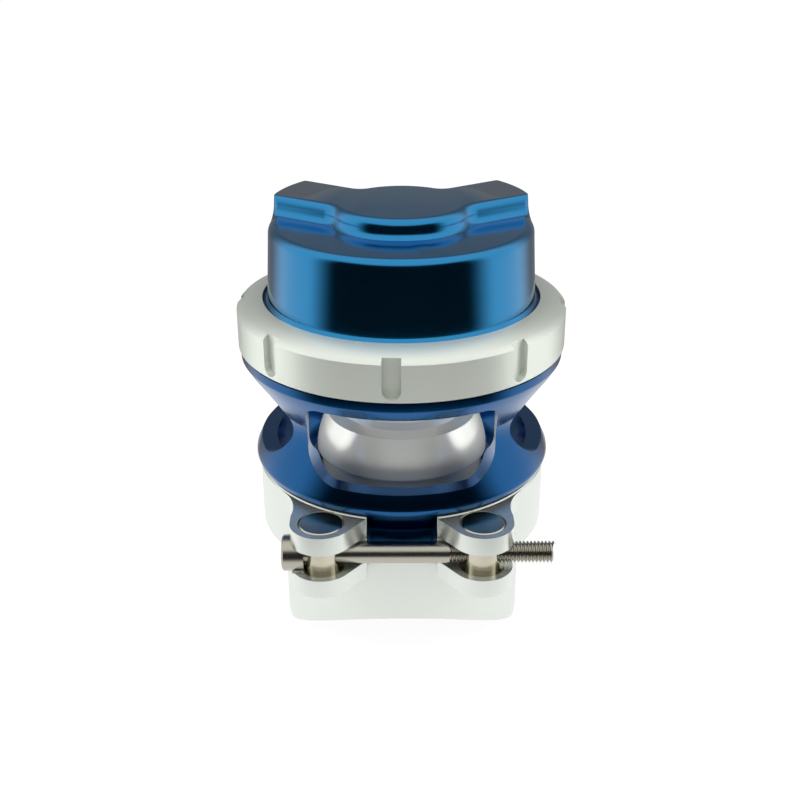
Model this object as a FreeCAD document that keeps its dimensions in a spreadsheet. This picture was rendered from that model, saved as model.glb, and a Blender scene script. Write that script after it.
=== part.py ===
"""Blow-off valve that vents a boosted intake pipe, clamped to a weld-on saddle flange.

Millimetres, +Z up. The origin is on the valve's axis at the crown of the pipe under
the saddle, and the pipe runs along Y. The clamp screw crosses the front at -Y, and
the signal port looks to the rear, +Y.
"""
import FreeCAD, Part
import Sketcher
import math
import os
import re

V = FreeCAD.Vector

# Driving dimensions: alias, value in millimetres (or degrees, or a count), what it is
SIZES = [
    ("pipe_radius", 44.45, "outside radius of the intake pipe, a 3.5 inch tube"),
    ("spigot_radius", 36.2, "outside of the weld flange's spigot and of the body's neck"),
    ("flow_radius", 30.0, "flow bore through the weld flange"),
    ("spigot_round", 4.0, "rounding of the saddle's two lobes"),
    ("spigot_drop", 1.2, "blank below the line where spigot and pipe would meet"),
    ("joint_height", 26.9, "joint plane between weld flange and body"),
    ("rim_radius", 38.8, "outside of both V rims in the clamp"),
    ("rim_edge", 4.4, "thickness of each V rim at its edge"),
    ("rim_slope", 20.0, "slope of the V faces, degrees"),
    ("seat_radius", 30.8, "outside of the seat ring"),
    ("seat_low", 21.2, "lower end of the seat ring"),
    ("seat_top", 31.3, "upper end of the seat ring"),
    ("seat_contact", 24.0, "radius of the circle on which the valve closes"),
    ("seat_depth", 1.2, "height of the seat's cone under that circle"),
    ("seat_foot", 1.0, "wall of the seat ring at its foot"),
    ("face_gap", 0.05, "gap between flat faces that meet"),
    ("close_fit", 0.3, "gap beside pieces that are located, not run"),
    ("ring_radius", 34.2, "middle radius of the base seal"),
    ("ring_section", 2.6, "width of the base seal"),
    ("ring_depth", 1.9, "depth of the base seal's groove"),
    ("clamp_radius", 42.4, "outside of the clamp ring"),
    ("clamp_low", 17.3, "lower face of the clamp ring"),
    ("clamp_top", 36.5, "upper face of the clamp ring"),
    ("clamp_bevel", 0.5, "bevel of the clamp ring's outer edges"),
    ("clamp_gap", 19.4, "gap between the clamp's front ends"),
    ("clamp_rear_gap", 8.0, "gap between the clamp's rear ends"),
    ("lip_gap", 0.5, "radial gap of the clamp's lips on the necks"),
    ("v_gap", 0.3, "gap of the clamp's V on the rims"),
    ("ear_angle", 37.0, "where an ear's flank leaves the ring, degrees from the rear"),
    ("ear_hollow", 16.0, "radius of that flank"),
    ("ear_straight", 4.0, "straight side of an ear behind the screw"),
    ("ear_turn", 36.0, "where an ear's rounding ends, degrees from the screw"),
    ("nose_line", 41.1, "front corner of an ear at the clamp's gap"),
    ("ring_bite", 1.0, "overlap of ears and ring"),
    ("ear_low", 17.6, "lower face of the lower ears"),
    ("ear_mid_low", 22.9, "upper face of the lower ears"),
    ("ear_mid_top", 30.8, "lower face of the upper ears"),
    ("ear_top", 36.2, "upper face of the upper ears"),
    ("ear_radius", 8.5, "rounding of the ears about the barrels"),
    ("barrel_out", 22.0, "barrel axis to the middle plane"),
    ("screw_line", 43.2, "clamp screw in front of the valve axis"),
    ("barrel_radius", 6.3, "barrel in its ears"),
    ("barrel_waist", 4.95, "barrel between its ears"),
    ("barrel_fit", 0.08, "running gap of the barrels in the ears"),
    ("barrel_bevel", 0.5, "bevel of the barrels' ends"),
    ("screw_radius", 3.0, "clamp screw, M6"),
    ("screw_hole", 3.35, "hole in the plain barrel"),
    ("thread_fit", 0.1, "gap in the threaded barrel"),
    ("head_radius", 5.0, "head of the clamp screw"),
    ("head_seat", 0.25, "depth of the head's flat seat in the plain barrel"),
    ("head_room", 0.8, "room for the head in the ears while the clamp opens"),
    ("head_length", 6.0, "length of the head"),
    ("head_bevel", 0.5, "bevel of the head's edge"),
    ("point_bevel", 0.7, "bevel of the screw's point"),
    ("screw_room", 0.8, "room for the screw in the clamp halves"),
    ("screw_length", 69.7, "length under the head"),
    ("socket_radius", 2.5, "half the hexagon across its flats"),
    ("socket_depth", 3.0, "depth of the hexagon socket"),
    ("hinge_out", 7.5, "hinge pin to the middle plane"),
    ("hinge_line", 47.5, "hinge pins behind the valve axis"),
    ("knuckle_radius", 4.4, "knuckles of the clamp halves"),
    ("knuckle_low", 22.4, "lower face of the knuckles"),
    ("knuckle_top", 31.4, "upper face of the knuckles"),
    ("arm_out", 19.5, "foot of a knuckle's arm from the middle plane"),
    ("arm_line", 36.1, "foot of that arm behind the valve axis"),
    ("arm_near", 39.8, "inner edge of that arm behind the valve axis"),
    ("arm_room", 0.3, "room behind the ring where the halves are parted"),
    ("link_thick", 3.2, "thickness of the two hinge links"),
    ("link_gap", 0.3, "gap between links and knuckles"),
    ("pin_radius", 2.0, "hinge pins"),
    ("pin_fit", 0.06, "running gap of the pins in the knuckles"),
    ("pin_head", 1.2, "height of the pins' heads"),
    ("pin_head_out", 1.1, "their overhang"),
    ("pin_crown", 0.6, "overhang of their flat top"),
    ("flange_low", 37.9, "lower face of the body's flange"),
    ("flange_radius", 43.5, "widest radius of the body's flange"),
    ("flange_under", 42.9, "radius of the flange at its lower face"),
    ("flange_over", 43.3, "radius where its edge meets the cone"),
    ("flange_edge", 39.4, "height of that widest radius"),
    ("flange_top", 40.6, "where the flange turns into the lower cone"),
    ("waist_radius", 36.7, "where the two cones of the body would meet"),
    ("waist_height", 54.9, "height where they would meet"),
    ("waist_round", 8.0, "rounding of the waist"),
    ("shoulder_radius", 46.4, "lip under the collar"),
    ("shoulder_height", 70.5, "where the upper cone ends"),
    ("shoulder_top", 72.9, "upper face of that lip"),
    ("edge_round", 1.0, "rounding of flange and lip"),
    ("port_radius", 32.0, "inside of the columns and of the port lip"),
    ("port_lip", 38.4, "height of the port lip"),
    ("throat_radius", 28.6, "inside of the body above the seat ring"),
    ("throat_rise", 2.0, "straight throat above the seat ring"),
    ("window_low", 43.8, "floor of the windows"),
    ("window_half", 26.0, "half width of the front and rear windows"),
    ("side_window_half", 22.5, "half width of the side windows"),
    ("window_round", 8.7, "rounding of the windows' lower corners"),
    ("window_top_round", 4.0, "rounding of the windows' upper corners"),
    ("window_chamfer", 5.2, "depth of the groove turned round the port at the windows' floor"),
    ("deck_low", 67.4, "underside of the body's deck"),
    ("deck_top", 70.4, "upper side of the deck"),
    ("chamber_low_radius", 38.5, "inside of the body above the deck"),
    ("body_top", 81.4, "top of the body"),
    ("thread_radius", 43.2, "thread of the body in the collar"),
    ("ball_radius", 25.5, "spherical face of the valve"),
    ("ball_height", 37.8, "centre of that sphere with the valve shut"),
    ("ball_low", 23.5, "underside of the valve"),
    ("shoulder_ball", 22.0, "edge at the top of the sphere"),
    ("neck_radius", 17.0, "neck of the valve in its bush"),
    ("neck_foot", 18.6, "root of the neck"),
    ("root_rise", 1.2, "rise from the sphere's edge to that root"),
    ("neck_rise", 2.8, "rise from the sphere's edge to the neck"),
    ("neck_fit", 0.05, "running gap of the neck in its bush"),
    ("neck_top", 74.6, "top of the neck"),
    ("valve_wall", 3.2, "wall of the hollow valve"),
    ("bush_radius", 19.4, "outside of the guide bush"),
    ("bush_flange", 22.0, "flange of the guide bush"),
    ("bush_top", 73.8, "top of the guide bush"),
    ("seal_section", 1.8, "section of the neck seal"),
    ("bush_bevel", 1.0, "bevel of the bush's flange"),
    ("plate_radius", 30.0, "lower diaphragm plate"),
    ("upper_plate_radius", 26.0, "upper diaphragm plate, clear of the signal port's boss"),
    ("plate_bevel", 1.0, "bevel of the plates' rims"),
    ("plate_spigot", 3.0, "spigot of the lower plate in the neck"),
    ("plate_thick", 2.0, "thickness of the diaphragm plates"),
    ("rubber", 0.9, "thickness of the diaphragm"),
    ("rim_clamped", 0.6, "diaphragm's rim between body and cap"),
    ("rim_inset", 0.7, "edge of the diaphragm inside the thread"),
    ("roll_radius", 2.6, "inside radius of the diaphragm's roll"),
    ("roll_drop", 2.0, "straight side of the roll under the plates"),
    ("spring_seat_radius", 11.5, "boss of the upper plate inside the springs"),
    ("spring_seat_high", 1.6, "height of that boss"),
    ("spring_seat_bevel", 0.8, "taper of that boss"),
    ("outer_spring_radius", 20.0, "mean radius of the outer spring"),
    ("outer_wire", 2.5, "wire of the outer spring"),
    ("outer_turns", 3.75, "turns of the outer spring"),
    ("inner_spring_radius", 14.6, "mean radius of the inner spring"),
    ("inner_wire", 1.8, "wire of the inner spring"),
    ("inner_turns", 5.0, "turns of the inner spring"),
    ("stem_radius", 4.0, "stem bolt, M8"),
    ("stem_head_radius", 6.5, "head of the stem bolt"),
    ("stem_head_high", 5.0, "height of the stem bolt's head"),
    ("bolt_bevel", 0.6, "bevels of the stem bolt"),
    ("bolt_out", 1.2, "stem bolt above its nut"),
    ("nut_across", 13.0, "stem nut across its flats"),
    ("nut_high", 5.6, "height of the stem nut"),
    ("washer_radius", 8.0, "stem washer"),
    ("washer_thick", 1.6, "thickness of the stem washer"),
    ("collar_radius", 47.0, "outside of the collar"),
    ("collar_low", 73.4, "lower edge of the collar"),
    ("collar_wall_top", 84.0, "top of the collar's plain wall"),
    ("collar_hole", 39.6, "hole in the top of the collar"),
    ("collar_top", 87.1, "inner edge of the collar's top"),
    ("collar_shoulder", 84.8, "inside of the collar's top"),
    ("collar_bevel", 0.4, "bevel of the collar's lower edge"),
    ("collar_inset", 0.7, "edge of the dome inside the wall"),
    ("collar_dome", 15.0, "radius of the domed top"),
    ("notch_width", 5.0, "spanner notches"),
    ("notch_low", 74.3, "lower end of the notches"),
    ("notch_depth", 1.8, "depth of the notches"),
    ("notch_count", 8.0, "spanner notches round the collar"),
    ("notch_turn", 3.2, "turn of the notches from the front, degrees"),
    ("cap_flange", 42.9, "flange of the cap under the collar"),
    ("cap_flange_thick", 2.5, "thickness of that flange"),
    ("cap_bevel_low", 0.8, "start of the cap's bevel under the collar's edge"),
    ("cap_bevel_high", 0.6, "its end over that edge"),
    ("cap_low_radius", 38.1, "cap's cone at the top of the collar"),
    ("cap_top_radius", 36.7, "cap's cone at the knob's height"),
    ("step_height", 108.3, "flat steps in front of and behind the knob"),
    ("step_round", 2.6, "rounding of the steps' rim"),
    ("knob_top", 113.5, "flat top of the knob"),
    ("boss_radius", 19.3, "round middle of the knob"),
    ("wing_front", 14.1, "front edge of a wing from the axis"),
    ("wing_rear", 6.8, "rear edge of a wing from the axis"),
    ("knob_sunk", 2.0, "knob's foot under the steps before they are joined"),
    ("wing_sweep", 32.0, "wings swept to the rear, degrees"),
    ("front_blend", 9.4, "hollow blend between wing and round middle, front"),
    ("rear_blend", 3.0, "hollow blend between wing and round middle, rear"),
    ("knob_round", 2.6, "rounding of the knob's upper edge"),
    ("knob_foot", 2.5, "hollow rounding at the knob's foot"),
    ("chamber_radius", 34.0, "inside of the cap"),
    ("chamber_top", 104.4, "ceiling inside the cap"),
    ("port_height", 96.5, "height of the signal port"),
    ("port_bore", 4.3, "signal port, 1/8 inch pipe thread"),
    ("port_face", 36.4, "flat round the signal port"),
    ("port_inner", 26.6, "inner end of the signal port's boss"),
    ("port_wall", 2.66, "wall of the boss round the signal port"),
    ("boss_bite", 0.5, "overlap of that boss with the cap"),
    ("margin", 1.0, "how far a cut runs past the face it opens"),
]

doc = FreeCAD.newDocument("BlowOffValve")
sheet = doc.addObject("Spreadsheet::Sheet", "Sizes")
for row, (alias, value, note) in enumerate(SIZES, start=1):
    sheet.set("A%d" % row, alias)
    sheet.set("B%d" % row, repr(value))
    sheet.set("C%d" % row, note)
    sheet.setAlias("B%d" % row, alias)
doc.recompute()

ALIASES = {alias for alias, value, note in SIZES}


def bound(text):
    """Expression text with every alias written as a cell of the sheet."""
    return re.sub(r"[a-z_]+", lambda m: "Sizes." + m.group() if m.group() in ALIASES else m.group(), text)


def size(text):
    """Number that an expression has now."""
    return float(sheet.evalExpression(bound(text)))


# Expressions that more than one piece uses
RIM_RISE = "(rim_radius - spigot_radius) * tan(rim_slope)"
RIM_UNDER = "joint_height - rim_edge"
RIM_OVER = "joint_height + rim_edge"
PLATE_LOW = "neck_top"
RUBBER_LOW = "neck_top + plate_thick"
RUBBER_TOP = "neck_top + plate_thick + rubber"
SPRING_SEAT = "neck_top + 2 * plate_thick + rubber"
WASHER_LOW = "neck_top + 2 * plate_thick + rubber + spring_seat_high"
NUT_LOW = WASHER_LOW + " + washer_thick"
CAP_LOW = "body_top + rim_clamped"


def new_body(label):
    """Body named after its node."""
    body = doc.addObject("PartDesign::Body", label)
    body.Label = label
    return body


def new_sketch(body, role, height=None):
    """Sketch on one of the body's origin planes, lifted to a height."""
    sketch = body.newObject("Sketcher::SketchObject", body.Name + "_sketch")
    plane = [item for item in body.Origin.OriginFeatures if item.Role == role][0]
    sketch.AttachmentSupport = (plane, [""])
    sketch.MapMode = "FlatFace"
    if height is not None:
        sketch.setExpression("AttachmentOffset.Base.z", bound(height))
    return sketch


def pin_point(sketch, curve, end, across, up):
    """Bind one end of a curve to two expressions."""
    for kind, text in (("DistanceX", across), ("DistanceY", up)):
        index = sketch.addConstraint(Sketcher.Constraint(kind, -1, 1, curve, end, size(text)))
        sketch.setExpression("Constraints[%d]" % index, bound(text))


def arc_between(start, end, radius, side):
    """Short arc between two points, bulging to the left of the way from start to end for side 1."""
    chord = end - start
    left = V(-chord.y, chord.x, 0).normalize()
    reach = math.sqrt(max(radius ** 2 - (chord.Length / 2) ** 2, 0))
    centre = (start + end) * 0.5 - left * side * reach
    first, last = (end, start) if side > 0 else (start, end)
    from_angle = math.atan2(first.y - centre.y, first.x - centre.x)
    to_angle = math.atan2(last.y - centre.y, last.x - centre.x)
    if to_angle < from_angle:
        to_angle += 2 * math.pi
    return Part.ArcOfCircle(Part.Circle(centre, V(0, 0, 1), radius), from_angle, to_angle)


def outline(sketch, points):
    """Closed outline: (x, y) ends a line, (x, y, radius, side) ends an arc."""
    places = [V(size(point[0]), size(point[1]), 0) for point in points]
    for number, point in enumerate(points):
        start = places[number - 1]
        if len(point) == 2:
            curve = sketch.addGeometry(Part.LineSegment(start, places[number]))
            pin_point(sketch, curve, 2, point[0], point[1])
            before = points[number - 1]
            pin_point(sketch, curve, 1, before[0], before[1])
        else:
            curve = sketch.addGeometry(arc_between(start, places[number], size(point[2]), point[3]))
            first = 2 if point[3] > 0 else 1
            before = points[number - 1]
            pin_point(sketch, curve, first, before[0], before[1])
            pin_point(sketch, curve, 3 - first, point[0], point[1])
            index = sketch.addConstraint(Sketcher.Constraint("Radius", curve, size(point[2])))
            sketch.setExpression("Constraints[%d]" % index, bound(point[2]))
    return sketch


def circle(sketch, across, up, radius):
    """Circle bound to its centre and radius."""
    place = V(size(across), size(up), 0)
    curve = sketch.addGeometry(Part.Circle(place, V(0, 0, 1), size(radius)))
    pin_point(sketch, curve, 3, across, up)
    index = sketch.addConstraint(Sketcher.Constraint("Radius", curve, size(radius)))
    sketch.setExpression("Constraints[%d]" % index, bound(radius))
    return sketch


def revolve(body, points, seam=0):
    """Turn an outline of (radius, height) points about Z, starting at the seam's angle."""
    sketch = new_sketch(body, "XZ_Plane")
    sketch.AttachmentOffset = FreeCAD.Placement(V(0, 0, 0), FreeCAD.Rotation(V(0, 1, 0), seam))
    outline(sketch, points)
    feature = body.newObject("PartDesign::Revolution", body.Name + "_turned")
    feature.Profile = sketch
    feature.ReferenceAxis = (sketch, ["V_Axis"])
    feature.Angle = 360
    body.Tip = feature
    doc.recompute()
    return feature


def extrude(body, sketch, kind, length, reverse=False, both=False):
    """Pad or pocket a sketch by a bound length."""
    feature = body.newObject(kind, body.Name + "_" + kind.split("::")[1].lower())
    feature.Profile = sketch
    feature.Type = "Length"
    if both:
        feature.SideType = "Symmetric"
    feature.Reversed = reverse
    feature.setExpression("Length", bound(length))
    body.Tip = feature
    doc.recompute()
    return feature


def ring_edges(shape, rings):
    """Names of the circular edges about Z that lie at the given radii and heights."""
    names = []
    for number, edge in enumerate(shape.Edges, start=1):
        if not isinstance(edge.Curve, Part.Circle):
            continue
        centre = edge.Curve.Center
        if math.hypot(centre.x, centre.y) > 0.01:
            continue
        for radius, height in rings:
            if abs(edge.Curve.Radius - size(radius)) < 0.02 and abs(centre.z - size(height)) < 0.02:
                names.append("Edge%d" % number)
    return names


def dress(body, names, amount):
    """Fillet of named edges of the body's tip."""
    base = body.Tip
    feature = body.newObject("PartDesign::Fillet", body.Name + "_fillet")
    feature.Base = (base, names)
    feature.setExpression("Radius", bound(amount))
    body.Tip = feature
    doc.recompute()
    return feature


def round_rings(body, rings, amount):
    """Fillet the edges that turn about Z at the given places."""
    return dress(body, ring_edges(body.Tip.Shape, rings), amount)


def plain_ring(label, points):
    """Sub-part that is one turned outline."""
    body = new_body(label)
    revolve(body, points)
    return body


def weld_flange():
    """Saddle flange: spigot with a V rim, seal groove and seat pocket, cut to lie on the pipe."""
    body = new_body("weld_flange")
    low = "-(pipe_radius - sqrt(pipe_radius^2 - spigot_radius^2)) - spigot_drop"
    revolve(body, [
        ("flow_radius", low),
        ("spigot_radius", low),
        ("spigot_radius", RIM_UNDER + " - " + RIM_RISE),
        ("rim_radius", RIM_UNDER),
        ("rim_radius", "joint_height"),
        ("ring_radius + ring_section / 2 + face_gap", "joint_height"),
        ("ring_radius + ring_section / 2 + face_gap", "joint_height - ring_depth"),
        ("ring_radius - ring_section / 2 - face_gap", "joint_height - ring_depth"),
        ("ring_radius - ring_section / 2 - face_gap", "joint_height"),
        ("seat_radius + close_fit", "joint_height"),
        ("seat_radius + close_fit", "seat_low - face_gap"),
        ("flow_radius", "seat_low - face_gap"),
    ])
    round_rings(body, [("spigot_radius", low)], "spigot_round")
    saddle = circle(new_sketch(body, "XZ_Plane"), "0", "-pipe_radius", "pipe_radius")
    extrude(body, saddle, "PartDesign::Pocket", "4 * spigot_radius", both=True)
    return body


def seat_ring():
    """Ring that centres body on flange and gives the valve its conical seat."""
    tilt = "seat_contact / sqrt(ball_radius^2 - seat_contact^2)"
    contact = "ball_height - sqrt(ball_radius^2 - seat_contact^2)"
    return plain_ring("valve_seat", [
        ("seat_radius", "seat_low"),
        ("seat_radius", "seat_top"),
        ("seat_contact + face_gap + (seat_top - (%s)) / (%s)" % (contact, tilt), "seat_top"),
        ("seat_contact + face_gap - seat_depth / (%s)" % tilt, contact + " - seat_depth"),
        ("seat_radius - seat_foot", "seat_low"),
    ])


def base_seal():
    """Seal squeezed into the flange's groove."""
    body = plain_ring("base_o_ring", [
        ("ring_radius - ring_section / 2", "joint_height - ring_depth + face_gap"),
        ("ring_radius + ring_section / 2", "joint_height - ring_depth + face_gap"),
        ("ring_radius + ring_section / 2", "joint_height"),
        ("ring_radius - ring_section / 2", "joint_height"),
    ])
    return body


def valve_body():
    """Body: V rim, flange, waisted cage with four windows, deck and threaded top."""
    body = new_body("valve_body")
    revolve(body, [
        ("seat_radius + close_fit", "joint_height + face_gap"),
        ("rim_radius", "joint_height + face_gap"),
        ("rim_radius", RIM_OVER),
        ("spigot_radius", RIM_OVER + " + " + RIM_RISE),
        ("spigot_radius", "flange_low"),
        ("flange_under", "flange_low"),
        ("flange_radius", "flange_edge"),
        ("flange_over", "flange_top"),
        ("waist_radius", "waist_height"),
        ("shoulder_radius", "shoulder_height"),
        ("shoulder_radius", "shoulder_top"),
        ("thread_radius", "shoulder_top"),
        ("thread_radius", "body_top"),
        ("chamber_low_radius", "body_top"),
        ("chamber_low_radius", "deck_top"),
        ("bush_radius + face_gap", "deck_top"),
        ("bush_radius + face_gap", "deck_low"),
        ("port_radius", "deck_low"),
        ("port_radius", "window_low + window_chamfer / 2"),
        ("port_radius + window_chamfer", "window_low"),
        ("port_radius", "port_lip"),
        ("throat_radius", "seat_top + face_gap + throat_rise"),
        ("throat_radius", "seat_top + face_gap"),
        ("seat_radius + close_fit", "seat_top + face_gap"),
    ], seam=45)
    round_rings(body, [("waist_radius", "waist_height")], "waist_round")
    round_rings(body, [("flange_radius", "flange_edge"), ("shoulder_radius", "shoulder_height")], "edge_round")
    for plane, half in (("XZ_Plane", "window_half"), ("YZ_Plane", "side_window_half")):
        window(body, plane, half, False)
        window(body, plane, half, True)
    return body


def window(body, plane, half, reverse):
    """Cut one window with four rounded corners from the middle outwards, up to the deck."""
    low = "window_low"
    high = "deck_low"
    foot = "window_round"
    head = "window_top_round"
    face = outline(new_sketch(body, plane), [
        ("%s - %s" % (half, foot), low),
        (half, "%s + %s" % (low, foot), foot, -1),
        (half, "%s - %s" % (high, head)),
        ("%s - %s" % (half, head), high, head, -1),
        ("-%s + %s" % (half, head), high),
        ("-" + half, "%s - %s" % (high, head), head, -1),
        ("-" + half, "%s + %s" % (low, foot)),
        ("-%s + %s" % (half, foot), low, foot, -1),
    ])
    extrude(body, face, "PartDesign::Pocket", "1.5 * shoulder_radius", reverse=reverse)


def guide_bush():
    """Flanged bush in the deck, in which the neck of the valve runs."""
    return plain_ring("guide_bush", [
        ("neck_radius + neck_fit", "deck_low"),
        ("bush_radius", "deck_low"),
        ("bush_radius", "deck_top + face_gap"),
        ("bush_flange", "deck_top + face_gap"),
        ("bush_flange", "bush_top - bush_bevel"),
        ("bush_flange - bush_bevel", "bush_top"),
        ("neck_radius + seal_section", "bush_top"),
        ("neck_radius + seal_section", "bush_top - seal_section - face_gap"),
        ("neck_radius + neck_fit", "bush_top - seal_section - face_gap"),
    ])


def neck_seal():
    """Lip seal in the top of the bush."""
    return plain_ring("neck_seal", [
        ("neck_radius + neck_fit", "bush_top - seal_section"),
        ("neck_radius + seal_section - face_gap", "bush_top - seal_section"),
        ("neck_radius + seal_section - face_gap", "bush_top - face_gap"),
        ("neck_radius + seal_section / 2", "bush_top - face_gap"),
    ])


def valve():
    """Hollow valve: spherical face, cone and long neck."""
    edge = "ball_height + sqrt(ball_radius^2 - shoulder_ball^2)"
    floor = "ball_low + stem_head_high"
    return plain_ring("valve", [
        ("stem_head_radius + close_fit", "ball_low"),
        ("sqrt(ball_radius^2 - (ball_height - ball_low)^2)", "ball_low"),
        ("shoulder_ball", edge, "ball_radius", -1),
        ("neck_foot", edge + " + root_rise"),
        ("neck_radius", edge + " + neck_rise"),
        ("neck_radius", "neck_top - face_gap"),
        ("neck_radius - valve_wall", "neck_top - face_gap"),
        ("neck_radius - valve_wall", floor + " + valve_wall"),
        ("stem_radius + close_fit", floor + " + valve_wall"),
        ("stem_radius + close_fit", floor),
        ("stem_head_radius + close_fit", floor),
    ])


def lower_plate():
    """Plate under the diaphragm, with a spigot in the neck."""
    return plain_ring("lower_plate", [
        ("stem_radius + close_fit", PLATE_LOW + " - plate_spigot"),
        ("neck_radius - valve_wall - face_gap", PLATE_LOW + " - plate_spigot"),
        ("neck_radius - valve_wall - face_gap", PLATE_LOW),
        ("plate_radius - plate_bevel", PLATE_LOW),
        ("plate_radius", PLATE_LOW + " + plate_bevel"),
        ("plate_radius", RUBBER_LOW),
        ("stem_radius + close_fit", RUBBER_LOW),
    ])


def upper_plate():
    """Plate over the diaphragm, with the boss inside the springs."""
    return plain_ring("upper_plate", [
        ("stem_radius + close_fit", RUBBER_TOP),
        ("upper_plate_radius", RUBBER_TOP),
        ("upper_plate_radius", SPRING_SEAT + " - plate_bevel"),
        ("upper_plate_radius - plate_bevel", SPRING_SEAT),
        ("spring_seat_radius", SPRING_SEAT),
        ("spring_seat_radius - spring_seat_bevel", WASHER_LOW),
        ("stem_radius + close_fit", WASHER_LOW),
    ])


def diaphragm():
    """Rubber diaphragm: flat middle, roll hanging in the gap, and clamped rim."""
    inner = "chamber_low_radius - close_fit - rubber - 2 * roll_radius"
    outer = "chamber_low_radius - close_fit"
    hang = RUBBER_LOW + " - roll_drop"
    return plain_ring("diaphragm", [
        ("stem_radius + close_fit", RUBBER_LOW),
        (inner + " - rubber", RUBBER_LOW),
        (inner + " - rubber", hang),
        ("%s - roll_radius - rubber" % outer, hang + " - roll_radius - rubber", "roll_radius + rubber", -1),
        (outer, hang, "roll_radius + rubber", -1),
        (outer, "body_top"),
        ("thread_radius - rim_inset", "body_top"),
        ("thread_radius - rim_inset", CAP_LOW),
        (outer + " - rubber", CAP_LOW),
        (outer + " - rubber", hang),
        (inner + " + roll_radius", hang + " - roll_radius", "roll_radius", 1),
        (inner, hang, "roll_radius", 1),
        (inner, RUBBER_TOP),
        ("stem_radius + close_fit", RUBBER_TOP),
    ])


def spring(label, radius, wire, turns):
    """Compression spring between the upper plate and the cap's ceiling."""
    body = new_body(label)
    foot = SPRING_SEAT + " + %s / 2 + face_gap" % wire
    section = circle(new_sketch(body, "XZ_Plane"), radius, foot, wire + " / 2")
    coil = body.newObject("PartDesign::AdditiveHelix", label + "_coil")
    coil.Profile = section
    coil.ReferenceAxis = (section, ["V_Axis"])
    coil.Mode = "height-turns-angle"
    rise = "chamber_top - (%s) - %s - 2 * face_gap" % (SPRING_SEAT, wire)
    coil.setExpression("Height", bound(rise))
    coil.setExpression("Turns", bound(turns))
    body.Tip = coil
    doc.recompute()
    return body


def stem_bolt():
    """Bolt up through valve, plates and diaphragm, with its head under the valve."""
    return plain_ring("stem_bolt", [
        ("0", "ball_low - face_gap"),
        ("stem_head_radius - bolt_bevel", "ball_low - face_gap"),
        ("stem_head_radius", "ball_low + bolt_bevel"),
        ("stem_head_radius", "ball_low + stem_head_high - face_gap"),
        ("stem_radius", "ball_low + stem_head_high - face_gap"),
        ("stem_radius", NUT_LOW + " + nut_high + bolt_out"),
        ("stem_radius - bolt_bevel", NUT_LOW + " + nut_high + bolt_out + bolt_bevel"),
        ("0", NUT_LOW + " + nut_high + bolt_out + bolt_bevel"),
    ])


def stem_washer():
    """Washer under the stem nut."""
    return plain_ring("stem_washer", [
        ("stem_radius + face_gap", WASHER_LOW),
        ("washer_radius", WASHER_LOW),
        ("washer_radius", NUT_LOW + " - face_gap"),
        ("stem_radius + face_gap", NUT_LOW + " - face_gap"),
    ])


def stem_nut():
    """Hexagon nut on the stem bolt."""
    body = new_body("stem_nut")
    corner = "nut_across / (2 * cos(30))"
    flat = outline(new_sketch(body, "XY_Plane", NUT_LOW), [
        ("%s * cos(%d)" % (corner, turn), "%s * sin(%d)" % (corner, turn)) for turn in range(0, 360, 60)
    ])
    extrude(body, flat, "PartDesign::Pad", "nut_high")
    hole = circle(new_sketch(body, "XY_Plane", NUT_LOW + " + nut_high"), "0", "0", "stem_radius + face_gap")
    extrude(body, hole, "PartDesign::Pocket", "nut_high")
    return body


def collar():
    """Threaded ring that holds the cap down, with spanner notches round its wall."""
    body = new_body("collar")
    inner = "thread_radius + close_fit / 2"
    roof = CAP_LOW + " + cap_flange_thick + face_gap"
    revolve(body, [
        (inner, "collar_low"),
        ("collar_radius - collar_bevel", "collar_low"),
        ("collar_radius", "collar_low + collar_bevel"),
        ("collar_radius", "collar_wall_top"),
        ("collar_radius - collar_inset", "collar_shoulder"),
        ("collar_hole", "collar_top", "collar_dome", -1),
        ("collar_hole", roof),
        (inner, roof),
    ])
    half = "notch_width / 2"
    face = new_sketch(body, "XZ_Plane", "collar_radius - notch_depth")
    outline(face, [
        (half, "collar_top + margin"),
        ("-" + half, "collar_top + margin"),
        ("-" + half, "notch_low + " + half),
        ("0", "notch_low", half, -1),
        (half, "notch_low + " + half, half, -1),
    ])
    notch = extrude(body, face, "PartDesign::Pocket", "2 * notch_depth", reverse=True)
    ring = body.newObject("PartDesign::PolarPattern", "collar_notches")
    ring.Originals = [notch]
    ring.Axis = ([item for item in body.Origin.OriginFeatures if item.Role == "Z_Axis"][0], [""])
    ring.Angle = 360
    ring.setExpression("Occurrences", bound("notch_count"))
    body.Tip = ring
    doc.recompute()
    body.Placement = FreeCAD.Placement(V(0, 0, 0), FreeCAD.Rotation(V(0, 0, 1), -size("notch_turn")))
    return body


def knob_side(front):
    """Corners of the knob's front or rear outline, from the left wing to the right one."""
    edge, blend = ("wing_front", "front_blend") if front else ("wing_rear", "rear_blend")
    sign = "-" if front else ""
    reach = "sqrt((boss_radius + %s)^2 - (%s + %s)^2)" % (blend, edge, blend)

    def place(off, along):
        across = "(%s%s * sin(wing_sweep) - (%s) * cos(wing_sweep))" % (sign, off, along)
        back = "(%s%s * cos(wing_sweep) + (%s) * sin(wing_sweep))" % (sign, off, along)
        return across, back

    share = "boss_radius / (boss_radius + %s)" % blend
    far = place(edge, "collar_radius")
    line_end = place(edge, reach)
    centre = place("(%s + %s)" % (edge, blend), reach)
    circle_end = (share + " * " + centre[0], share + " * " + centre[1])
    hollow = 1 if front else -1
    return [
        far,
        line_end,
        circle_end + (blend, hollow),
        ("-" + circle_end[0], circle_end[1], "boss_radius", -hollow),
        ("-" + line_end[0], line_end[1], blend, hollow),
        ("-" + far[0], far[1]),
    ]


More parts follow.
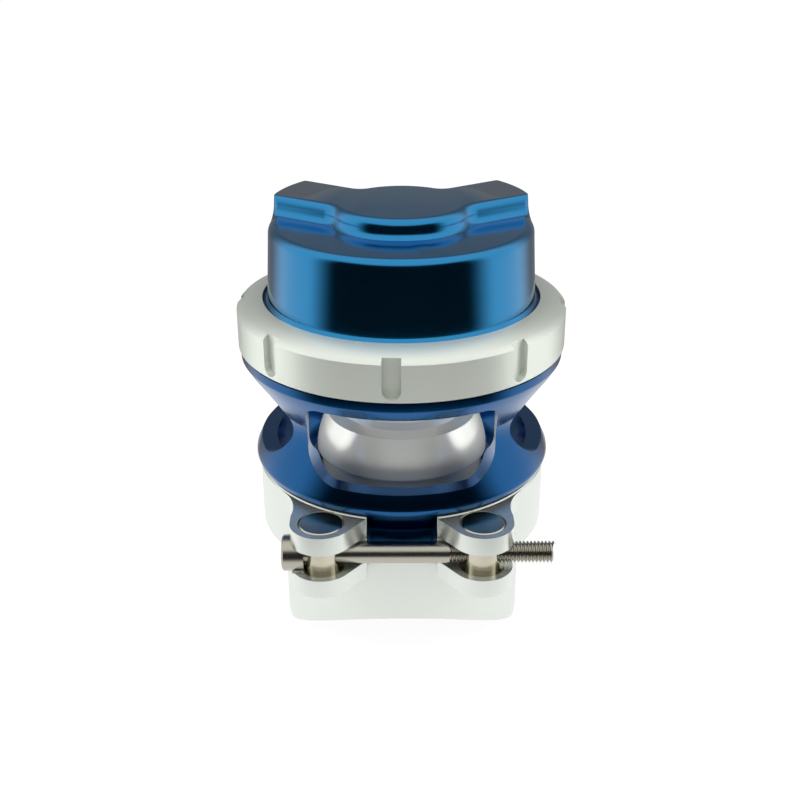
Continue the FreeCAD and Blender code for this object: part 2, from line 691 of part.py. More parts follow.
def knob_form():
    """Swept knob with a rounded upper edge, standing on a wide round table at the steps' height."""
    body = new_body("knob_form")
    around = knob_side(True) + mirrored(knob_side(False), 1)
    plan = outline(new_sketch(body, "XY_Plane", "step_height - knob_sunk"), around)
    extrude(body, plan, "PartDesign::Pad", "knob_top - step_height + knob_sunk")
    dress(body, knob_edges(body.Tip.Shape, "knob_top"), "knob_round")
    revolve(body, [
        ("0", "body_top - margin"),
        ("1.5 * collar_radius", "body_top - margin"),
        ("1.5 * collar_radius", "step_height"),
        ("0", "step_height"),
    ])
    return body


def cap():
    """Cap: flanged cone with the swept knob standing between two flat steps."""
    form = knob_form()
    body = new_body("cap")
    skirt = "collar_hole - close_fit"
    revolve(body, [
        ("0", "chamber_top"),
        ("chamber_radius", "chamber_top"),
        ("chamber_radius", CAP_LOW),
        ("cap_flange", CAP_LOW),
        ("cap_flange", CAP_LOW + " + cap_flange_thick"),
        (skirt, CAP_LOW + " + cap_flange_thick"),
        (skirt, "collar_top - cap_bevel_low"),
        ("cap_low_radius", "collar_top + cap_bevel_high"),
        ("cap_top_radius", "knob_top"),
        ("0", "knob_top"),
    ])
    common = body.newObject("PartDesign::Boolean", "cap_steps")
    common.Type = "Common"
    common.addObject(form)
    body.Tip = common
    doc.recompute()
    dress(body, knob_edges(body.Tip.Shape, "step_height"), "knob_foot")
    dress(body, rim_edges(body.Tip.Shape), "step_round")
    signal_port(body)
    return body


def level_edges(shape, height):
    """Names and mid radii of the edges that lie level at a height."""
    found = []
    for number, edge in enumerate(shape.Edges, start=1):
        if edge.BoundBox.ZLength > 0.01 or abs(edge.BoundBox.ZMin - size(height)) > 0.01:
            continue
        middle = edge.valueAt((edge.FirstParameter + edge.LastParameter) / 2)
        found.append(("Edge%d" % number, math.hypot(middle.x, middle.y)))
    return found


def knob_edges(shape, height):
    """Level edges along the knob's flanks."""
    return [name for name, reach in level_edges(shape, height) if reach < size("cap_top_radius") - 0.5]


def rim_edges(shape):
    """Level edges along the outer rim of the two steps."""
    return [name for name, reach in level_edges(shape, "step_height") if reach > size("cap_top_radius") - 0.5]


def signal_port(body):
    """Boss inside the cap's rear wall, its spot face and its through bore."""
    wall = "port_bore + port_wall"
    boss = outline(new_sketch(body, "XZ_Plane", "-chamber_radius - boss_bite"), [
        ("-(%s)" % wall, "chamber_top + boss_bite"),
        ("-(%s)" % wall, "port_height"),
        ("0", "port_height - (%s)" % wall, wall, -1),
        (wall, "port_height", wall, -1),
        (wall, "chamber_top + boss_bite"),
    ])
    extrude(body, boss, "PartDesign::Pad", "chamber_radius + boss_bite - port_inner")
    face = circle(new_sketch(body, "XZ_Plane", "-port_face"), "0", "port_height", wall)
    extrude(body, face, "PartDesign::Pocket", "cap_flange - port_face")
    bore = circle(new_sketch(body, "XZ_Plane", "-port_face - margin"), "0", "port_height", "port_bore")
    extrude(body, bore, "PartDesign::Pocket", "port_face - port_inner + 2 * margin", reverse=True)


def clamp_half(label, hand):
    """One half of the clamp: V ring, two ears for the barrel and a hinge knuckle; hand is -1 or 1."""
    body = new_body(label)
    lip = "spigot_radius + lip_gap"
    low_v = RIM_UNDER + " - " + RIM_RISE + " - v_gap"
    high_v = RIM_OVER + " + " + RIM_RISE + " + v_gap"
    groove = "rim_radius + lip_gap"
    revolve(body, [
        (lip, "clamp_low"),
        ("clamp_radius - clamp_bevel", "clamp_low"),
        ("clamp_radius", "clamp_low + clamp_bevel"),
        ("clamp_radius", "clamp_top - clamp_bevel"),
        ("clamp_radius - clamp_bevel", "clamp_top"),
        (lip, "clamp_top"),
        (lip, high_v),
        (groove, high_v + " - " + RIM_RISE),
        (groove, low_v + " + " + RIM_RISE),
        (lip, low_v),
    ])
    for low, high in (("ear_low", "ear_mid_low"), ("ear_mid_top", "ear_top")):
        ear = outline(new_sketch(body, "XY_Plane", low), ear_outline(hand))
        extrude(body, ear, "PartDesign::Pad", "%s - %s" % (high, low))
    knuckle = outline(new_sketch(body, "XY_Plane", "knuckle_low"), knuckle_outline(hand))
    extrude(body, knuckle, "PartDesign::Pad", "knuckle_top - knuckle_low")
    far = "%d * 2 * clamp_radius" % -hand
    front_end = "%d * clamp_gap / 2" % hand
    rear_end = "%d * clamp_rear_gap / 2" % hand
    other = outline(new_sketch(body, "XY_Plane", "0"), [
        (front_end, "-1.5 * clamp_radius"),
        (front_end, "0"),
        (rear_end, "0"),
        (rear_end, "clamp_radius + arm_room"),
        (far, "clamp_radius + arm_room"),
        (far, "-1.5 * clamp_radius"),
    ])
    extrude(body, other, "PartDesign::Pocket", "clamp_top + margin", reverse=True)
    holes = new_sketch(body, "XY_Plane", "0")
    circle(holes, "%d * barrel_out" % hand, "-screw_line", "barrel_radius + barrel_fit")
    circle(holes, "%d * hinge_out" % hand, "hinge_line", "pin_radius + pin_fit")
    extrude(body, holes, "PartDesign::Pocket", "clamp_top + margin", reverse=True)
    way = circle(new_sketch(body, "YZ_Plane", "0"), "-screw_line", "joint_height", "screw_radius + screw_room")
    extrude(body, way, "PartDesign::Pocket", "clamp_radius", reverse=hand > 0)
    if hand < 0:
        seat = new_sketch(body, "YZ_Plane", "-(barrel_out + barrel_waist)")
        circle(seat, "-screw_line", "joint_height", "head_radius + head_room")
        extrude(body, seat, "PartDesign::Pocket", "clamp_radius")
    return body


def ear_outline(hand):
    """Plan of an ear: hollow flank, lobe about the barrel and straight nose to the clamp's end."""
    root = "(clamp_radius - ring_bite)"
    root_back = "sqrt(%s^2 - (clamp_gap / 2)^2)" % root
    nose_across = "-(barrel_out - ear_radius * cos(ear_turn))"
    nose_front = "-(screw_line + ear_radius * sin(ear_turn))"
    return mirrored([
        ("-clamp_radius * cos(ear_angle)", "-clamp_radius * sin(ear_angle)"),
        ("-(barrel_out + ear_radius)", "-(screw_line - ear_straight)", "ear_hollow", 1),
        ("-(barrel_out + ear_radius)", "-screw_line"),
        (nose_across, nose_front, "ear_radius", -1),
        ("-clamp_gap / 2", "-nose_line"),
        ("-clamp_gap / 2", "-" + root_back),
        ("-%s * cos(ear_angle)" % root, "-%s * sin(ear_angle)" % root, root, 1),
    ], hand)


def mirrored(points, hand):
    """Outline as drawn for the left side, or mirrored to the right."""
    if hand < 0:
        return points
    turned = []
    for point in points:
        across = "-(%s)" % point[0]
        turned.append((across,) + tuple(point[1:3]) + ((-point[3],) if len(point) == 4 else ()))
    return turned


def knuckle_outline(hand):
    """Plan of the hinge knuckle and its arm to the clamp ring."""
    left = [
        ("-clamp_rear_gap / 2", "arm_near"),
        ("-(hinge_out - knuckle_radius)", "hinge_line"),
        ("-hinge_out", "hinge_line + knuckle_radius", "knuckle_radius", -1),
        ("-(hinge_out + knuckle_radius)", "hinge_line", "knuckle_radius", -1),
        ("-arm_out", "arm_line"),
    ]
    return mirrored(left, hand)


def barrel(label, hand, hole):
    """Barrel in the ears of one clamp half, cross-drilled for the clamp screw."""
    body = new_body(label)
    revolve(body, [
        ("0", "ear_low"),
        ("barrel_radius - barrel_bevel", "ear_low"),
        ("barrel_radius", "ear_low + barrel_bevel"),
        ("barrel_radius", "ear_mid_low"),
        ("barrel_waist", "ear_mid_low"),
        ("barrel_waist", "ear_mid_top"),
        ("barrel_radius", "ear_mid_top"),
        ("barrel_radius", "ear_top - barrel_bevel"),
        ("barrel_radius - barrel_bevel", "ear_top"),
        ("0", "ear_top"),
    ])
    way = circle(new_sketch(body, "YZ_Plane"), "0", "joint_height", hole)
    extrude(body, way, "PartDesign::Pocket", "4 * barrel_radius", both=True)
    if hand < 0:
        face = new_sketch(body, "YZ_Plane", "head_seat - barrel_waist")
        seat = circle(face, "0", "joint_height", "head_radius + close_fit")
        extrude(body, seat, "PartDesign::Pocket", "barrel_radius")
    body.setExpression("Placement.Base.x", bound("%d * barrel_out" % hand))
    body.setExpression("Placement.Base.y", bound("-screw_line"))
    return body


def clamp_screw():
    """Socket-head screw along X through both barrels."""
    body = new_body("clamp_screw")
    turned = outline(new_sketch(body, "XZ_Plane"), [
        ("-head_length", "0"),
        ("-head_length", "head_radius - head_bevel"),
        ("head_bevel - head_length", "head_radius"),
        ("0", "head_radius"),
        ("0", "screw_radius"),
        ("screw_length - point_bevel", "screw_radius"),
        ("screw_length", "screw_radius - point_bevel"),
        ("screw_length", "0"),
    ])
    feature = body.newObject("PartDesign::Revolution", "clamp_screw_turned")
    feature.Profile = turned
    feature.ReferenceAxis = (turned, ["H_Axis"])
    feature.Angle = 360
    body.Tip = feature
    doc.recompute()
    corner = "socket_radius / cos(30)"
    socket = outline(new_sketch(body, "YZ_Plane", "-head_length"), [
        ("%s * cos(%d)" % (corner, turn), "%s * sin(%d)" % (corner, turn)) for turn in range(0, 360, 60)
    ])
    extrude(body, socket, "PartDesign::Pocket", "socket_depth", reverse=True)
    body.setExpression("Placement.Base.x", bound("head_seat - barrel_out - barrel_waist - face_gap"))
    body.setExpression("Placement.Base.y", bound("-screw_line"))
    body.setExpression("Placement.Base.z", bound("joint_height"))
    return body


def hinge_link(label, low):
    """Flat link that joins the two hinge pins."""
    body = new_body(label)
    plan = outline(new_sketch(body, "XY_Plane", low), [
        ("-hinge_out", "hinge_line - knuckle_radius", "knuckle_radius", -1),
        ("hinge_out", "hinge_line - knuckle_radius"),
        ("hinge_out + knuckle_radius", "hinge_line", "knuckle_radius", -1),
        ("hinge_out", "hinge_line + knuckle_radius", "knuckle_radius", -1),
        ("-hinge_out", "hinge_line + knuckle_radius"),
        ("-(hinge_out + knuckle_radius)", "hinge_line", "knuckle_radius", -1),
    ])
    extrude(body, plan, "PartDesign::Pad", "link_thick")
    holes = new_sketch(body, "XY_Plane", low)
    circle(holes, "-hinge_out", "hinge_line", "pin_radius + face_gap")
    circle(holes, "hinge_out", "hinge_line", "pin_radius + face_gap")
    extrude(body, holes, "PartDesign::Pocket", "link_thick", reverse=True)
    return body


def hinge_pin(label, hand):
    """Pin with a head on each side of the links."""
    body = new_body(label)
    foot = "knuckle_low - link_gap - link_thick - face_gap"
    top = "knuckle_top + link_gap + link_thick + face_gap"
    revolve(body, [
        ("0", foot + " - pin_head"),
        ("pin_radius + pin_crown", foot + " - pin_head"),
        ("pin_radius + pin_head_out", foot),
        ("pin_radius", foot),
        ("pin_radius", top),
        ("pin_radius + pin_head_out", top),
        ("pin_radius + pin_crown", top + " + pin_head"),
        ("0", top + " + pin_head"),
    ])
    body.setExpression("Placement.Base.x", bound("%d * hinge_out" % hand))
    body.setExpression("Placement.Base.y", bound("hinge_line"))
    return body


PIECES = [
    weld_flange, seat_ring, base_seal, valve_body, guide_bush, neck_seal, valve, lower_plate,
    upper_plate, diaphragm, stem_bolt, stem_washer, stem_nut, collar, cap,
]


def main():
    """Build every sub-part, test it and write its file."""
    made = [piece() for piece in PIECES]
    made.append(spring("outer_spring", "outer_spring_radius", "outer_wire", "outer_turns"))
    made.append(spring("inner_spring", "inner_spring_radius", "inner_wire", "inner_turns"))
    made.append(clamp_half("clamp_half_left", -1))
    made.append(clamp_half("clamp_half_right", 1))
    made.append(barrel("barrel_plain", -1, "screw_hole"))
    made.append(barrel("barrel_threaded", 1, "screw_radius + thread_fit"))
    made.append(clamp_screw())
    made.append(hinge_link("hinge_link_upper", "knuckle_top + link_gap"))
    made.append(hinge_link("hinge_link_lower", "knuckle_low - link_gap - link_thick"))
    made.append(hinge_pin("hinge_pin_left", -1))
    made.append(hinge_pin("hinge_pin_right", 1))
    doc.recompute()
    for item in doc.Objects:
        if "Invalid" in item.State or "Error" in item.State:
            raise RuntimeError("%s could not be built" % item.Label)
    os.makedirs("parts", exist_ok=True)
    for item in made:
        if item.Shape.isNull() or not item.Shape.isValid():
            raise RuntimeError("%s has no valid shape" % item.Label)
        item.Shape.exportStep("parts/%s.step" % item.Label)
        print(item.Label, round(item.Shape.Volume), len(item.Shape.Solids))


main()
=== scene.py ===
import math
import bmesh
import bpy
from mathutils import Matrix, Vector


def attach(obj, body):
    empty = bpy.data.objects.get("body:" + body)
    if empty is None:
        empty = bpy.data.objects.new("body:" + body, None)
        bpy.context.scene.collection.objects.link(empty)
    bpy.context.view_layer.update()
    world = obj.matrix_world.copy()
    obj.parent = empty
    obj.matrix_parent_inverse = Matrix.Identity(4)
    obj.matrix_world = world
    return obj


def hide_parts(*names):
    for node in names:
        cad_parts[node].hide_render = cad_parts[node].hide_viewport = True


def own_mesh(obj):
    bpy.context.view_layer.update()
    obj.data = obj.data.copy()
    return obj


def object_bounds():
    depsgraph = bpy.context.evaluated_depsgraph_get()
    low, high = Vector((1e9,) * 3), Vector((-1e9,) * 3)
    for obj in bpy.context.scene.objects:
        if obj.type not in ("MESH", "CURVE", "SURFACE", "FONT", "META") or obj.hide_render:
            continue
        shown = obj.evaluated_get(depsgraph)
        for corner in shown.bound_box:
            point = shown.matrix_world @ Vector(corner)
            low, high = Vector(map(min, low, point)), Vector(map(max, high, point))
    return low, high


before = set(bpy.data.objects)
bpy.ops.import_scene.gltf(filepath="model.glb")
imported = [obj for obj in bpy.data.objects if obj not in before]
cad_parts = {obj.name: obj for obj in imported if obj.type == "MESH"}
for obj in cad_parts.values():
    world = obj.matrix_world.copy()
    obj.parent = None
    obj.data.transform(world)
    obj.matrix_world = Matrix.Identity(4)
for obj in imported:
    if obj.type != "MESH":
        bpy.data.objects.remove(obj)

cad_box = [list(corner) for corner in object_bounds()]


# The studio: the camera stands before the clamp screw and looks down on the valve. The floor and
# the background are plain white. A dark field in front gives the polished cap its black middle.
camera_place = Vector((0.0, -0.321, 0.2009))
camera_pitch = math.radians(24.75)
camera_roll = math.radians(-0.15)
lens_pixels = 1185.0
image_pixels = 800.0
shift_pixels = -1.6
sensor_width = 36.0
camera = bpy.data.objects.new("camera", bpy.data.cameras.new("camera"))
camera.data.sensor_width = sensor_width
camera.data.lens = lens_pixels / image_pixels * sensor_width
camera.data.shift_x = shift_pixels / image_pixels
camera.data.clip_start = 0.01
camera.matrix_world = (
    Matrix.Translation(camera_place)
    @ Matrix.Rotation(math.radians(90) - camera_pitch, 4, "X")
    @ Matrix.Rotation(camera_roll, 4, "Z")
)
bpy.context.scene.collection.objects.link(camera)
bpy.context.scene.camera = camera
bpy.context.scene.view_settings.view_transform = "Standard"


class Shade:
    """Socket of a shader tree whose operators add Math nodes."""

    def __init__(self, tree, socket):
        self.tree = tree
        self.socket = socket

    def math(self, operation, *others, turned=False):
        values = [self, *others][::-1] if turned else [self, *others]
        return add_node(self.tree, "ShaderNodeMath", {"operation": operation}, dict(enumerate(values)))

    def __add__(self, other):
        return self.math("ADD", other)

    __radd__ = __add__

    def __sub__(self, other):
        return self.math("SUBTRACT", other)

    def __rsub__(self, other):
        return self.math("SUBTRACT", other, turned=True)

    def __mul__(self, other):
        return self.math("MULTIPLY", other)

    __rmul__ = __mul__


def add_node(tree, kind, settings=None, inputs=None, output=0):
    """Any node: its settings first, then the values or links of its sockets."""
    node = tree.nodes.new(kind)
    for name, value in (settings or {}).items():
        setattr(node, name, value)
    for name, value in (inputs or {}).items():
        if isinstance(value, Shade):
            tree.links.new(value.socket, node.inputs[name])
        else:
            node.inputs[name].default_value = value
    return Shade(tree, node.outputs[output]) if node.outputs else None


def new_tree(owner):
    """Empty shader tree of a material or the world."""
    owner.use_nodes = True
    owner.node_tree.nodes.clear()
    return owner.node_tree


def area_light(name, place, towards, width, height, watts):
    """Soft box that faces a point and isn't mirrored by the metal."""
    data = bpy.data.lights.new(name, "AREA")
    data.shape = "RECTANGLE"
    data.size = width
    data.size_y = height
    data.energy = watts
    lamp = bpy.data.objects.new(name, data)
    way = Vector(towards) - Vector(place)
    lamp.matrix_world = Matrix.Translation(place) @ way.to_track_quat("-Z", "Y").to_matrix().to_4x4()
    lamp.visible_glossy = False
    bpy.context.scene.collection.objects.link(lamp)


middle = (0.0, 0.0, 0.05)
area_light("box_top", (0.0, -0.10, 0.80), middle, 0.60, 0.35, 2.2)
area_light("box_left", (-0.65, -0.10, 0.30), middle, 0.30, 0.60, 4.4)
area_light("box_right", (0.65, -0.10, 0.30), middle, 0.30, 0.60, 4.4)
area_light("box_front", (0.0, -0.50, 0.06), middle, 0.50, 0.10, 1.0)


def ramp(tree, value, low, high):
    """Smooth step of a value between two limits."""
    settings = {"interpolation_type": "SMOOTHSTEP"}
    return add_node(tree, "ShaderNodeMapRange", settings, {0: value, 1: low, 2: high})


front_limits = (0.12, 0.58)
high_limits = (0.48, 0.74)
behind_limits = (0.35, 0.80)
front_dark = 0.985
behind_dark = 0.80


def surroundings(tree, direction):
    """What polished metal mirrors in a direction: dark in front, bright beside and above, dim behind."""
    split = add_node(tree, "ShaderNodeSeparateXYZ", inputs={0: direction})
    rearward = Shade(tree, split.socket.node.outputs[1])
    upward = Shade(tree, split.socket.node.outputs[2])
    front = ramp(tree, rearward * -1.0, *front_limits)
    low = 1.0 - ramp(tree, upward, *high_limits)
    behind = ramp(tree, rearward, *behind_limits)
    return (1.0 - behind * behind_dark) * (1.0 - front * low * front_dark)


room_light = 0.80
world = bpy.data.worlds.new("studio")
bpy.context.scene.world = world
tree = new_tree(world)
path = add_node(tree, "ShaderNodeLightPath")
glossy_ray = Shade(tree, path.socket.node.outputs["Is Glossy Ray"])
way = add_node(tree, "ShaderNodeTexCoord", output=0)
mirrored = surroundings(tree, way)
strength = mirrored * glossy_ray + (1.0 - glossy_ray) * room_light
shown = path + (1.0 - path) * strength
back = add_node(tree, "ShaderNodeBackground", inputs={0: (1, 1, 1, 1), 1: shown})
add_node(tree, "ShaderNodeOutputWorld", inputs={0: back})

floor_low = cad_box[0][2]
floor_half = 3.0
floor_gap = 0.0003
floor_glow = 1.04
glow_share = 0.90
near_limits = (0.11, 0.21)
floor_mesh = bmesh.new()
bmesh.ops.create_grid(floor_mesh, x_segments=1, y_segments=1, size=floor_half)
bmesh.ops.translate(floor_mesh, verts=floor_mesh.verts, vec=(0, 0, floor_low - floor_gap))
floor_data = bpy.data.meshes.new("floor")
floor_mesh.to_mesh(floor_data)
floor_mesh.free()
floor = bpy.data.objects.new("floor", floor_data)
bpy.context.scene.collection.objects.link(floor)
floor_material = bpy.data.materials.new("white_floor")
tree = new_tree(floor_material)
path = add_node(tree, "ShaderNodeLightPath")
glossy_ray = Shade(tree, path.socket.node.outputs["Is Glossy Ray"])
place = add_node(tree, "ShaderNodeTexCoord", output=3)
way = add_node(tree, "ShaderNodeVectorMath", {"operation": "NORMALIZE"}, {0: place})
reach = add_node(tree, "ShaderNodeVectorMath", {"operation": "LENGTH"}, {0: place}, 1)
near = 1.0 - ramp(tree, reach, *near_limits)
mirrored = surroundings(tree, way)
mirrored = near + (1.0 - near) * mirrored
matt = add_node(tree, "ShaderNodeBsdfDiffuse", inputs={0: (0.85, 0.85, 0.85, 1)})
glow = add_node(tree, "ShaderNodeEmission", inputs={0: (1, 1, 1, 1), 1: floor_glow})
seen = add_node(tree, "ShaderNodeMixShader", inputs={0: path * glow_share, 1: matt, 2: glow})
image = add_node(tree, "ShaderNodeEmission", inputs={0: (1, 1, 1, 1), 1: mirrored})
mixed = add_node(tree, "ShaderNodeMixShader", inputs={0: glossy_ray, 1: seen, 2: image})
add_node(tree, "ShaderNodeOutputMaterial", inputs={0: mixed})
floor_data.materials.append(floor_material)


# The weld flange is a bright turned aluminium spigot with a saddle cut for the pipe. It is welded
# to the pipe and carries everything else, so its marks are fine rings about the valve's axis.
def metal(name, colour, roughness, grain, axis=2, centre=(0.0, 0.0, 0.0), **more):
    """Metal with marks turned round an axis, a cloudy roughness and small changes of its colour."""
    spread = more.get("spread", 0.05)
    depth = more.get("depth", 0.15)
    material = bpy.data.materials.new(name)
    tree = new_tree(material)
    place = add_node(tree, "ShaderNodeTexCoord", output=3)
    local = add_node(tree, "ShaderNodeVectorMath", {"operation": "SUBTRACT"}, {0: place, 1: centre})
    flat = [1.0, 1.0, 1.0]
    flat[axis] = 0.0
    across = add_node(tree, "ShaderNodeVectorMath", {"operation": "MULTIPLY"}, {0: local, 1: flat})
    reach = add_node(tree, "ShaderNodeVectorMath", {"operation": "LENGTH"}, {0: across}, 1)
    split = add_node(tree, "ShaderNodeSeparateXYZ", inputs={0: local}, output=axis)
    along = (reach * 0.9 + split) * grain
    line_noise = {"W": along, "Scale": 1.0, "Detail": 4.0, "Roughness": 0.7}
    marks = add_node(tree, "ShaderNodeTexNoise", {"noise_dimensions": "1D"}, line_noise)
    cloud_noise = {"Vector": place, "Scale": 90.0, "Detail": 4.0, "Roughness": 0.6}
    cloud = add_node(tree, "ShaderNodeTexNoise", inputs=cloud_noise)
    rough = (cloud - 0.5) * spread + (marks - 0.5) * spread + roughness
    dark = [channel * more.get("shade", 0.90) for channel in colour] + [1]
    tones = {0: cloud * 0.5 + marks * 0.5, 6: dark, 7: [*colour, 1]}
    tint = add_node(tree, "ShaderNodeMix", {"data_type": "RGBA"}, tones, 2)
    bump = add_node(tree, "ShaderNodeBump", inputs={"Strength": depth, "Distance": 0.00002, "Height": marks})
    shader = add_node(tree, "ShaderNodeBsdfPrincipled", inputs={
        "Base Color": tint,
        "Metallic": more.get("metallic", 1.0),
        "Roughness": rough,
        "Normal": bump,
        "Anisotropic": more.get("stretch", 0.5),
        "Anisotropic Rotation": 0.25,
        "Coat Weight": more.get("coat", 0.0),
        "Coat Roughness": 0.06,
    })
    add_node(tree, "ShaderNodeOutputMaterial", inputs={0: shader})
    return material


def crease(shape, sharp):
    """Shade a mesh smooth up to an angle."""
    for face in shape.faces:
        face.smooth = True
    for edge in shape.edges:
        edge.smooth = len(edge.link_faces) == 2 and edge.calc_face_angle(0.0) < math.radians(sharp)


def smooth_copy(node, sharp=30.0):
    """Merged and creased copy of a node's mesh."""
    shape = bmesh.new()
    shape.from_mesh(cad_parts[node].data)
    bmesh.ops.remove_doubles(shape, verts=shape.verts, dist=1e-6)
    crease(shape, sharp)
    return shape


def placed(shape, name, body, material, *nodes):
    """Turn a bmesh into an object that rides on a body and stands for some nodes."""
    data = bpy.data.meshes.new(name)
    shape.to_mesh(data)
    shape.free()
    data.materials.append(material)
    piece = bpy.data.objects.new(name, data)
    bpy.context.scene.collection.objects.link(piece)
    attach(piece, body)
    if nodes:
        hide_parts(*nodes)
    return piece


def dressed(node, body, material, sharp=30.0):
    """Smooth copy of a node in its finish."""
    return placed(smooth_copy(node, sharp), node + "_skin", body, material, node)


turned_flange = metal("turned_flange", (0.69, 0.73, 0.68), 0.30, 2500, metallic=0.75)
dressed("weld_flange", "housing", turned_flange)


# The stainless seat ring and the black seal lie in the joint. The ring centres the body on the
# flange, and the seal is squeezed in its groove.
seat_steel = metal("seat_steel", (0.60, 0.59, 0.56), 0.22, 3000)
dressed("valve_seat", "housing", seat_steel)
rubber_look = {"metallic": 0.0, "stretch": 0.0, "spread": 0.12}
black_rubber = metal("black_rubber", (0.018, 0.018, 0.019), 0.62, 400, **rubber_look)
dressed("base_o_ring", "housing", black_rubber)


# The body is one piece of aluminium, turned and milled to a flange, four waisted columns and a
# threaded top, and then anodised blue. It is clamped to the flange by its V rim.
body_blue = metal("body_blue", (0.005, 0.105, 0.31), 0.20, 3500, coat=0.3, shade=0.82, depth=0.12)
dressed("valve_body", "housing", body_blue)


# A bronze bush in the deck guides the valve's neck, with a black lip seal on top of it. Both are
# pressed in and hidden from outside.
bronze = metal("bush_bronze", (0.60, 0.38, 0.16), 0.32, 2500)
dressed("guide_bush", "housing", bronze)
dressed("neck_seal", "housing", black_rubber)


# The valve is bright turned aluminium: a spherical band with a crisp lower edge over a straight
# foot, a flat shoulder and a hollow neck. Fine turning rings stretch its reflections up and down.
valve_look = {"metallic": 0.60, "depth": 0.04, "stretch": 0.6, "spread": 0.04}
bright_valve = metal("bright_valve", (0.95, 0.96, 0.91), 0.24, 2200, **valve_look)
band_low = 0.0391
foot_top = 0.0379
foot_radius = 0.0240
shape = smooth_copy("valve")
for height in (band_low, foot_top):
    everything = shape.verts[:] + shape.edges[:] + shape.faces[:]
    bmesh.ops.bisect_plane(shape, geom=everything, plane_co=(0, 0, height), plane_no=(0, 0, 1))
for vert in shape.verts:
    reach = math.hypot(vert.co.x, vert.co.y)
    if vert.co.z < (band_low + foot_top) / 2 and reach > foot_radius:
        vert.co.x *= foot_radius / reach
        vert.co.y *= foot_radius / reach
crease(shape, 20.0)
placed(shape, "valve_skin", "valve", bright_valve, "valve")


# Two anodised plates hold the black diaphragm on the neck, and an M8 bolt with washer and nut
# pulls them together. They are under the cap.
plate_metal = metal("plate_metal", (0.72, 0.74, 0.72), 0.34, 2500)
dressed("lower_plate", "valve", plate_metal)
dressed("upper_plate", "valve", plate_metal)
dressed("diaphragm", "housing", black_rubber)
bolt_steel = metal("bolt_steel", (0.56, 0.55, 0.52), 0.28, 2500)
for node in ("stem_bolt", "stem_washer", "stem_nut"):
    dressed(node, "valve", bolt_steel)


# Two nested springs of round steel wire stand on the upper plate and press against the cap.
# They are shortened by the valve's lift.
spring_wire = metal("spring_wire", (0.36, 0.37, 0.39), 0.36, 1500)
for node in ("outer_spring", "inner_spring"):
    coil = dressed(node, "housing", spring_wire)
    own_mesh(coil)


# The collar is turned from aluminium with eight milled spanner notches and clear anodised. It
# screws onto the body and holds the cap's flange down.
collar_look = {"metallic": 0.74, "shade": 0.92, "depth": 0.25}
collar_silver = metal("collar_silver", (0.70, 0.74, 0.67), 0.36, 3000, **collar_look)
dressed("collar", "housing", collar_silver)


# The cap is turned and milled from aluminium and anodised blue like the body. Its swept knob
# stands between two flat steps, and the ends of its wings are flush with the turned cone. The cap
# can be turned under the loosened collar.
cap_blue = metal("cap_blue", (0.008, 0.240, 0.53), 0.17, 3500, coat=0.6, shade=0.84, depth=0.12)
wing_top = 0.1135
wing_root = 0.0260
end_round = 0.0026
round_start = 0.03424
cone_top = 0.0367
cone_slope = 0.0543
shape = smooth_copy("cap")
for vert in shape.verts:
    rise = vert.co.z - (wing_top - end_round)
    reach = math.hypot(vert.co.x, vert.co.y)
    if rise > 0.0 and reach > wing_root:
        rounded = round_start + math.sqrt(max(end_round ** 2 - rise ** 2, 0.0))
        flush = cone_top + cone_slope * (wing_top - vert.co.z)
        share = min((reach - wing_root) / (round_start - wing_root), 1.0)
        stretch = 1.0 + share * (flush / rounded - 1.0)
        vert.co.x *= stretch
        vert.co.y *= stretch
crease(shape, 30.0)
placed(shape, "cap_skin", "cap", cap_blue, "cap")


# Both clamp halves are milled from aluminium and clear anodised. They grip the two V rims and
# swing on pins at the rear.
clamp_look = {"metallic": 0.90, "shade": 0.94, "depth": 0.06}
clamp_silver = metal("clamp_silver", (0.76, 0.80, 0.75), 0.26, 2500, **clamp_look)
dressed("clamp_half_left", "clamp_left", clamp_silver)
dressed("clamp_half_right", "clamp_right", clamp_silver)


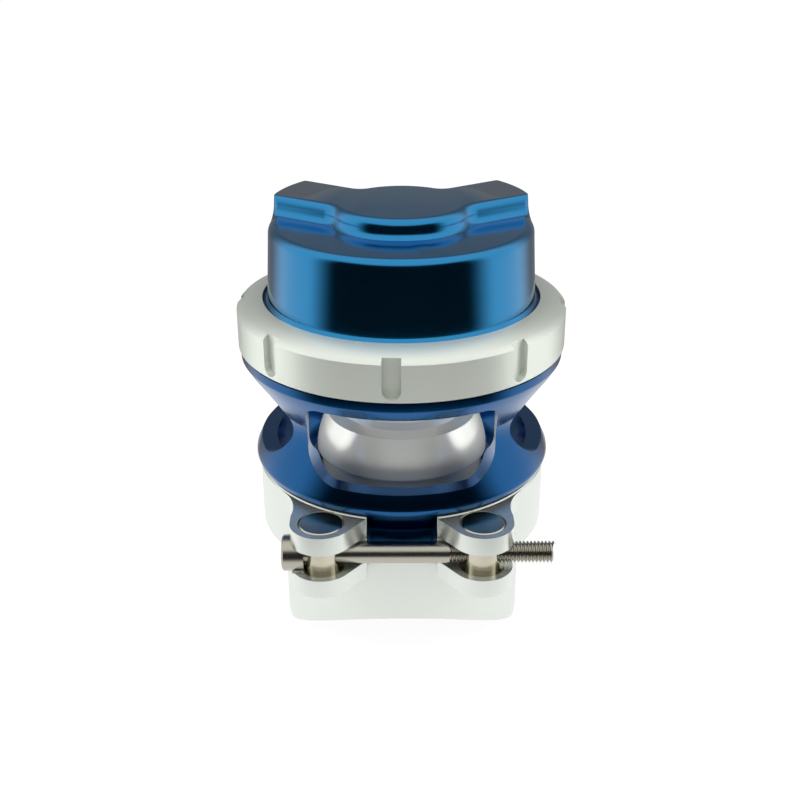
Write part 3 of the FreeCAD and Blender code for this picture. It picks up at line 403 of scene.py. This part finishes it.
# The barrels are nickel-plated steel with a yellowish tone. The left one has a plain hole with a
# flat seat for the screw's head, the right one is threaded.
nickel = metal("nickel_plated", (0.70, 0.66, 0.52), 0.20, 2500)
dressed("barrel_plain", "barrel_left", nickel)
dressed("barrel_threaded", "barrel_right", nickel)


# The clamp screw is an M6 socket-head screw of stainless steel. Its head and smooth shank come
# from the CAD mesh, and the thread is rolled on from the middle to the end.
screw_axis = (0.0, -0.0432, 0.0269)
thread_start = 0.0130
thread_end = 0.0424
pitch = 0.0010
crest = 0.00300
root = 0.00241
turn_steps = 32
weld_distance = 2e-6
screw_steel = metal("screw_steel", (0.50, 0.48, 0.41), 0.24, 3000, axis=0, centre=screw_axis)
shape = smooth_copy("clamp_screw")
everything = shape.verts[:] + shape.edges[:] + shape.faces[:]
cut = bmesh.ops.bisect_plane(
    shape, geom=everything, plane_co=(thread_start, 0, 0), plane_no=(1, 0, 0), clear_outer=True
)
rim = [item for item in cut["geom_cut"] if isinstance(item, bmesh.types.BMEdge)]
bmesh.ops.contextual_create(shape, geom=rim)
for edge in rim:
    if edge.is_valid:
        edge.smooth = False
profile = [(0.0, root), (0.10, root), (0.42, crest), (0.60, crest), (0.92, root), (1.0, root)]
corners = [
    shape.verts.new((thread_start - pitch + share * pitch, screw_axis[1], screw_axis[2] + reach))
    for share, reach in profile
]
edges = [shape.edges.new(pair) for pair in zip(corners, corners[1:])]
turns = round((thread_end - thread_start) / pitch)
swept = bmesh.ops.spin(
    shape, geom=corners + edges, cent=screw_axis, axis=(1, 0, 0), dvec=(pitch / turn_steps, 0, 0),
    angle=math.tau * turns, steps=turns * turn_steps,
)
bmesh.ops.remove_doubles(shape, verts=shape.verts, dist=weld_distance)
bmesh.ops.recalc_face_normals(shape, faces=shape.faces)
placed(shape, "clamp_screw_skin", "screw", screw_steel, "clamp_screw")


# Two links and two headed pins of stainless steel join the halves at the rear. The heads are
# upset over the links.
link_steel = metal("link_steel", (0.58, 0.57, 0.54), 0.26, 2500)
for node in ("hinge_link_upper", "hinge_link_lower", "hinge_pin_left", "hinge_pin_right"):
    dressed(node, "housing", link_steel)
